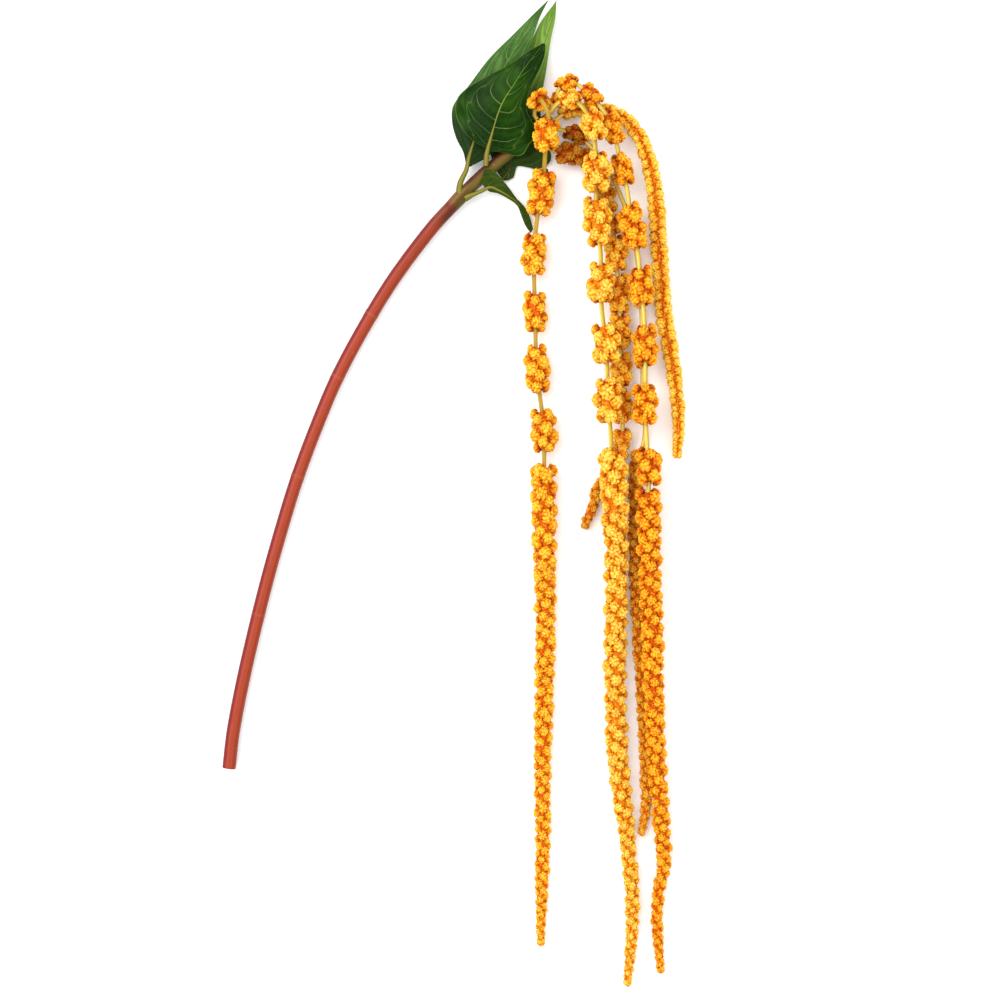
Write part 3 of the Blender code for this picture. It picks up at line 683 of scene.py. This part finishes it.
make_strand(
    "strand_under_right", [axis, shaded],
    route=[
        (64.5, 258.5, 7), (67, 256.5, 6.2), (73, 255, 6), (84, 252, 6.2), (92, 246, 5),
        (100, 237, 4.4), (109.5, 222, 4.4), (118, 203, 5), (124, 184, 5.4), (127.4, 163, 5.6),
        (129.4, 144, 5.8), (130.4, 122, 5.6), (130.8, 102, 5.8), (131, 82, 5.6), (131, 63, 5.8),
        (132.6, 50, 5.8), (132, 38, 5.6), (128.2, 26, 5.5), (126, 8, 5.3), (125.8, -18, 5.3),
        (126.2, -46, 5.1), (128, -88, 5.2), (129.7, -115, 5.1), (132, -150, 5),
        (134, -192, 5), (133, -222, 4.4), (130, -239, 2.7),
    ],
    clusters=[
        (84.5, 252, 17, 6.3), (122, 190, 18, 5.2), (129.4, 144, 26, 6), (130.8, 102, 26, 6),
        (131, 63, 24, 6),
    ],
    tail=[
        (128, 30, 5.8), (126.2, -46, 5.4), (132, -150, 5.4), (133.6, -205, 5.1),
        (130, -239, 2.6),
    ],
    seed=5,
)


# Outer strand.
# A short strand without gaps, which swings out widest to the right and stops half way. Its
# balls sit in pairs to the left and right of a groove.
ZIGZAG = [math.radians(turn) for turn in (33, 213, 147, 327)]
outer = floret_skin(
    "florets_outer", srgb(150, 24, 0), srgb(236, 118, 0), srgb(255, 178, 10), srgb(255, 230, 100)
)
make_strand(
    "strand_outer", [axis, outer],
    route=[
        (68.1, 261.2, 8), (70.5, 261.8, 7.6), (76, 266, 7), (84, 268.5, 6.8), (92, 268.5, 6.4),
        (102, 268, 6.2), (112, 266, 6.2), (122, 259, 6.3), (130, 247, 6.6), (136, 230, 6.9),
        (140, 209, 7), (142, 178, 7), (144, 150, 6.9), (146.2, 124, 6.8), (150, 102, 6.5),
        (153.6, 79, 6), (156, 58, 5.5), (156, 40, 4.9), (155, 25, 3.5),
    ],
    clusters=[],
    tail=[
        (74, 264.5, 5.3), (96, 268.5, 6.4), (122, 259, 6), (136, 230, 6.6), (142, 178, 7),
        (146.2, 124, 6.8), (153.6, 79, 6), (156, 50, 5.1), (155, 25, 3.6),
    ],
    seed=6, turns=ZIGZAG,
)
for ball in wide_balls + narrow_balls:
    bpy.data.meshes.remove(ball)


# Front leaf.
# A thin waxy blade on a short stalk, dark green above, with a yellow-green midrib and
# side veins that loop into each other well inside the margin. It lies over the crown.
BLADE_THICKNESS = 0.8
BLADE_COLUMNS, BLADE_ROWS = 36, 60
ROWS_PER_KNOT = 2
EDGE_DETAIL = 12
WAVE_STEP, WAVE_SHIFT = 1.5, 2
STALK_SIDES, STALK_STEP, STALK_ROOM = 12, 2.5, 1
FLARE_LENGTH, JOINT_SHARE = 6, 0.7
RIB_AFTER, RIB_RADIUS, RIB_TIP = 14, 0.5, 0.25


def leaf_skin(title, base, light, dark, vein, shine, veins=7, shade=(0.0, 0.0)):
    """A blade with looping side veins, darker from its base up to the far end of the shade."""
    paint = Paint(title, shine, Specular_IOR_Level=0.06)
    across, along = paint.across_and_along()
    bend = paint.sum("MULTIPLY_ADD", paint.noise(55, 2), 0.07, -0.035)
    out = paint.sum("ABSOLUTE", paint.sum("MULTIPLY_ADD", across, 2.0, -1.0))
    squeeze = paint.sum("POWER", out, 3.2)
    ahead = paint.sum("MULTIPLY_ADD", out, -0.14, paint.sum("ADD", along, bend))
    ahead = paint.sum("MULTIPLY_ADD", squeeze, -0.3, ahead)
    sides = paint.smooth(across, 0.49, 0.51, 0.0, 0.45)
    phase = paint.sum("FRACT", paint.sum("MULTIPLY_ADD", ahead, float(veins), sides))
    apart = paint.away(phase, 0.5)
    side_veins = paint.smooth(apart, 0.0, 0.045, 0.75, 0.0)
    side_veins = paint.sum("MULTIPLY", side_veins, paint.smooth(out, 0.5, 0.82, 1.0, 0.05))
    faint = paint.smooth(paint.noise(45, 2), 0.35, 0.6, 0.35, 1.0)
    side_veins = paint.sum("MULTIPLY", side_veins, faint)
    swell = paint.sum("SINE", paint.sum("MULTIPLY", phase, math.pi))
    arch = paint.sum("MULTIPLY_ADD", swell, 0.07, 0.66)
    loops = paint.smooth(paint.away(paint.sum("ADD", out, bend), arch), 0.0, 0.03, 0.2, 0.0)
    midrib = paint.smooth(out, 0.01, 0.024, 0.7, 0.0)
    net_place = paint.add("TexCoord").outputs["Object"]
    net = paint.add("TexVoronoi", {"feature": "DISTANCE_TO_EDGE"}, Vector=net_place, Scale=260.0)
    fine = paint.smooth(net.outputs["Distance"], 0.0, 0.1, 0.22, 0.0)
    mottle = paint.noise(38, 4)
    blade = paint.mix(paint.smooth(mottle, 0.4, 0.72), base, light)
    blade = paint.mix(paint.smooth(apart, 0.5, 0.15, 0.0, 0.45), blade, dark)
    blade = paint.mix(fine, blade, light)
    blade = paint.mix(paint.sum("MAXIMUM", side_veins, loops), blade, vein)
    blade = paint.mix(paint.smooth(out, 0.97, 1.0, 0.0, 0.5), blade, vein)
    blade = paint.mix(paint.smooth(along, *shade, 0.85, 0.0), blade, dark)
    paint.colour(paint.mix(midrib, blade, vein))
    relief = paint.sum("MULTIPLY_ADD", fine, 0.5, paint.sum("MAXIMUM", side_veins, midrib))
    paint.bump(paint.sum("MULTIPLY", relief, -1.0), 0.0006, 0.8)
    return paint.material


def stalk_skin(title="stalk_skin", share=1.0):
    """A stalk's and midrib's skin, with a painted highlight along its top, darkened as painted
    shade to the share of light that reaches it.
    """
    paint = Paint(title, 0.4, Specular_IOR_Level=0.15)
    across, _ = paint.across_and_along()
    streaks = paint.noise(8, 3, (5, 10, 1), "UV")
    side = paint.ramp(across, [
        (0.0, srgb(96, 66, 14)), (0.5, srgb(84, 90, 12)), (0.68, srgb(116, 118, 30)),
        (0.76, srgb(136, 134, 56)), (0.88, srgb(120, 92, 30)), (1.0, srgb(96, 66, 14)),
    ])
    skin = paint.mix(paint.smooth(streaks, 0.5, 0.75, 0, 0.5), side, srgb(120, 112, 44))
    paint.colour(paint.mix(1.0, skin, (share, share, share, 1), "MULTIPLY"))
    return paint.material


def make_leaf(node, skins, left, midrib, right, stalk, thick, wave, cup, flare=1):
    """One leaf: a grid pulled to its two margins and midrib, its underside, stalk and rib.

    Thick is the stalk's radius, which the flare widens where it leaves the stem. The cup is
    how late the blade turns up towards its margins, and the wave how high they ripple.
    """
    edges = [smooth_points(edge, EDGE_DETAIL) for edge in (left, midrib, right)]
    rows = ROWS_PER_KNOT * (len(midrib) - 1)
    bm = bmesh.new()
    bm.loops.layers.uv.new("UVMap")
    made = bmesh.ops.create_grid(
        bm, x_segments=BLADE_COLUMNS, y_segments=BLADE_ROWS, size=1, calc_uvs=True
    )
    for vert in made["verts"]:
        out, along = vert.co.x, (vert.co.y + 1) / 2
        step = along * (len(edges[0]) - 1)
        low = min(int(step), len(edges[0]) - 2)
        first, middle, second = (edge[low].lerp(edge[low + 1], step - low) for edge in edges)
        edge = first if out < 0 else second
        point = middle.lerp(edge, abs(out))
        point.z = middle.z + (edge.z - middle.z) * abs(out) ** cup
        shift = WAVE_SHIFT if out < 0 else 0
        point.z += wave * out * out * math.sin(WAVE_STEP * along * rows + shift)
        vert.co = point
    under = bmesh.ops.extrude_face_region(bm, geom=bm.faces[:], use_keep_orig=True)["geom"]
    lowered = [item for item in under if isinstance(item, bmesh.types.BMVert)]
    bmesh.ops.translate(bm, vec=(0, 0, -BLADE_THICKNESS), verts=lowered)
    bmesh.ops.recalc_face_normals(bm, faces=bm.faces)
    ribs = [(x, y, z - BLADE_THICKNESS / 2) for x, y, z in midrib]
    line = Line(stalk + ribs[1:])
    joint = line.nearest(*midrib[1][:2])

    radii = [
        (0, thick * flare), (FLARE_LENGTH, thick), (joint, thick * JOINT_SHARE),
        (joint + RIB_AFTER, RIB_RADIUS), (line.length, RIB_TIP),
    ]

    def thickness(distance, angle):
        return read_table(radii, distance)

    stalk_to = line.length - STALK_ROOM
    faces, caps = roll_tube(bm, line, 0, stalk_to, thickness, STALK_SIDES, STALK_STEP)
    for face in faces + caps:
        face.material_index = 1
    return finish_piece(node + "_blade", bm, skins, node)


stalk_green = stalk_skin()
dark_leaf = leaf_skin(
    "leaf_dark", srgb(20, 48, 0), srgb(44, 82, 4), srgb(10, 30, 0), srgb(120, 152, 70), 0.34
)
make_leaf(
    "leaf_front", [dark_leaf, stalk_green],
    left=[
        (21, 241, 14.5), (11, 248, 13), (5, 255, 11.8), (1, 264, 11), (1, 274, 11.2),
        (7, 282, 12), (21, 290, 14.5), (37, 298, 17.6), (51, 307, 19.5), (61, 313, 19.5),
    ],
    midrib=[
        (22, 240, 14.9), (24, 244, 15.2), (26, 251, 16.2), (28, 258, 17.2),
        (31, 267, 18.4), (35, 275, 19.6), (41, 284, 20.5), (48, 295, 21), (55, 304, 20.5),
        (62, 313, 19.5),
    ],
    right=[
        (24, 239, 14.5), (34, 238, 14.2), (46, 236, 14), (52, 244, 13.7),
        (57, 252, 13.7), (50, 267, 15.4), (52, 281, 18.5), (58, 293, 20), (62, 303, 20),
        (63, 312, 19.5),
    ],
    stalk=[
        (21.6, 228.8, 14), (21.9, 232.4, 14.4), (22.2, 236.2, 14.8),
    ],
    thick=1.9, wave=0.8, cup=1.6,
)


# Leaf behind on the left.
# A longer leaf of the same make, which shows as a lobe darkened by painted shade and a long point
# past the front one. Its stalk springs from the collar on the stem.
back_leaf = leaf_skin(
    "leaf_back", srgb(66, 106, 44), srgb(94, 134, 66), srgb(10, 36, 0), srgb(154, 180, 104),
    0.38, shade=(0.3, 0.52),
)
make_leaf(
    "leaf_back_left", [back_leaf, stalk_green],
    left=[
        (8, 228, 8), (6, 239, 6), (1, 249, 5.4), (-2, 261, 5), (-1, 272, 6), (10, 286, 8),
        (24, 304, 10), (38, 318, 11), (52, 332, 10.5), (64, 344, 9),
    ],
    midrib=[
        (9, 229, 8), (10, 236, 7.6), (13, 246, 7.7), (16, 258, 8.3), (22, 272, 9.5),
        (29, 288, 11), (38, 304, 12), (47, 318, 12), (55, 331, 11), (65, 345, 9),
    ],
    right=[
        (11, 229, 8), (20, 234, 8), (31, 244, 8.2), (37, 261, 8.6), (43, 276, 9),
        (48, 292, 10.5), (51, 307, 11.5), (55, 320, 11.5), (59, 332, 10.8), (65, 344, 9),
    ],
    stalk=[
        (3.2, 210.6, 8.4), (3.6, 216.6, 10.2), (5.7, 221.6, 9.6), (8, 226.4, 8.6),
    ],
    thick=2.0, wave=0.6, cup=1.6, flare=1.3,
)


# Leaf behind on the right.
# A young leaf that lies flat under the crown. Its long point catches the light and is a
# bright green, and its broad base is in the shade.
bright_leaf = leaf_skin(
    "leaf_bright", srgb(114, 154, 58), srgb(138, 176, 78), srgb(20, 44, 2), srgb(176, 200, 118),
    0.42, veins=9, shade=(0.3, 0.72),
)
make_leaf(
    "leaf_back_right", [bright_leaf, stalk_skin("stalk_shaded", 0.3)],
    left=[
        (34, 220, 1.4), (29, 227, 1.4), (26, 234, 1.4), (24, 243, 1.5), (23, 253, 1.7),
        (24, 265, 2), (34, 284, 3), (44, 300, 4.5), (52, 314, 6), (60, 330, 6.5),
        (70, 344, 6),
    ],
    midrib=[
        (37, 220, 1.4), (38, 227, 1.4), (39, 234, 1.4), (41, 242, 1.5), (44, 251, 1.7),
        (48, 265, 2), (54, 285, 3), (59, 303, 5), (63, 318, 6.5), (66, 332, 7),
        (71, 346, 6),
    ],
    right=[
        (41, 222, 1.4), (45, 231, 1.4), (57, 228, 1.8), (67, 234, 2), (64, 248, 2),
        (60, 265, 2), (61, 280, 3), (64, 298, 4.5), (67, 318, 6), (70, 332, 6.5),
        (71, 344, 6),
    ],
    stalk=[(24, 216, 2), (29, 217.5, 1.9), (34, 222, 1.7)],
    thick=1.3, wave=0, cup=1,
)


# Small leaf.
# The smallest leaf, folded over near its base, on a slim stalk from the other side of the
# collar. It hangs beside the left strand.
small_leaf = leaf_skin(
    "leaf_small_skin", srgb(50, 70, 16), srgb(70, 92, 32), srgb(32, 48, 10),
    srgb(104, 122, 58), 0.4, veins=5,
)
make_leaf(
    "leaf_small", [small_leaf, stalk_green],
    left=[
        (20.4, 226.4, 12.8), (26, 226.2, 12.7), (31.9, 220.9, 10.6), (37.6, 214.4, 8.2),
        (43.2, 206.8, 6.4), (48.4, 201.6, 5.2), (52.2, 194.8, 4.2), (54.6, 186, 3.2),
    ],
    midrib=[
        (19.4, 221.4, 12.5), (24.6, 214.4, 10.4), (30.3, 212.4, 8.8), (36.4, 209.2, 7.2),
        (43.4, 204.2, 5.8), (47.2, 197.4, 4.8), (50.6, 190.2, 3.8), (54, 185, 3),
    ],
    right=[
        (18.6, 216.6, 12.4), (23.4, 211.8, 9.6), (29.6, 210.4, 7.8), (36, 207.4, 6.6),
        (43.2, 202.4, 5.6), (46.2, 195.8, 4.4), (49, 188.8, 3.5), (53, 183, 3),
    ],
    stalk=[
        (7.4, 207.4, 7.8), (13.4, 209.6, 9.2), (19, 211.8, 10),
    ],
    thick=1.6, wave=0.3, cup=1, flare=1.9,
)


# Floor, light and camera.
# A plain white floor under the seed head, a large soft lamp from the upper left, weak
# light from all round, and a camera straight above, as far as the picture needs.
FLOOR_SIDE, FLOOR_DROP = 6, 0.0005
LENS, SENSOR, PICTURE_SIDE = 100, 36, 0.7
bm = bmesh.new()
bmesh.ops.create_grid(bm, x_segments=1, y_segments=1, size=FLOOR_SIDE / 2)
floor_mesh = bpy.data.meshes.new("floor")
bm.to_mesh(floor_mesh)
bm.free()
floor_paint = Paint("floor_white", 0.9)
floor_paint.shader.inputs["Base Color"].default_value = (0.95, 0.95, 0.95, 1)
floor_paint.shader.inputs["Emission Color"].default_value = (0.97, 1, 1, 1)
floor_paint.shader.inputs["Emission Strength"].default_value = 0.12
floor_mesh.materials.append(floor_paint.material)
floor = bpy.data.objects.new("floor", floor_mesh)
floor.location.z = -FLOOR_DROP
bpy.context.scene.collection.objects.link(floor)

world = bpy.data.worlds.new("soft_room")
world.use_nodes = True
world.node_tree.nodes["Background"].inputs["Color"].default_value = (1, 1, 1, 1)
world.node_tree.nodes["Background"].inputs["Strength"].default_value = 1.12
bpy.context.scene.world = world


def soft_lamp(name, energy, side, place, aim):
    lamp = bpy.data.lights.new(name, "AREA")
    lamp.energy, lamp.size = energy, side
    holder = bpy.data.objects.new(name, lamp)
    holder.location = place
    holder.rotation_euler = (Vector(place) - Vector(aim)).to_track_quat("Z", "Y").to_euler()
    bpy.context.scene.collection.objects.link(holder)


soft_lamp("window", 36, 1.6, (-1.1, 0.9, 2.0), (0, 0, 0))
soft_lamp("fill", 8, 1.6, (1.3, -0.6, 1.8), (0, 0, 0))

camera = bpy.data.objects.new("camera", bpy.data.cameras.new("camera"))
camera.data.lens, camera.data.sensor_width = LENS, SENSOR
camera.location = (0.0315, -0.0035, PICTURE_SIDE * LENS / SENSOR)
bpy.context.scene.collection.objects.link(camera)
bpy.context.scene.camera = camera
bpy.context.scene.view_settings.view_transform = "Standard"
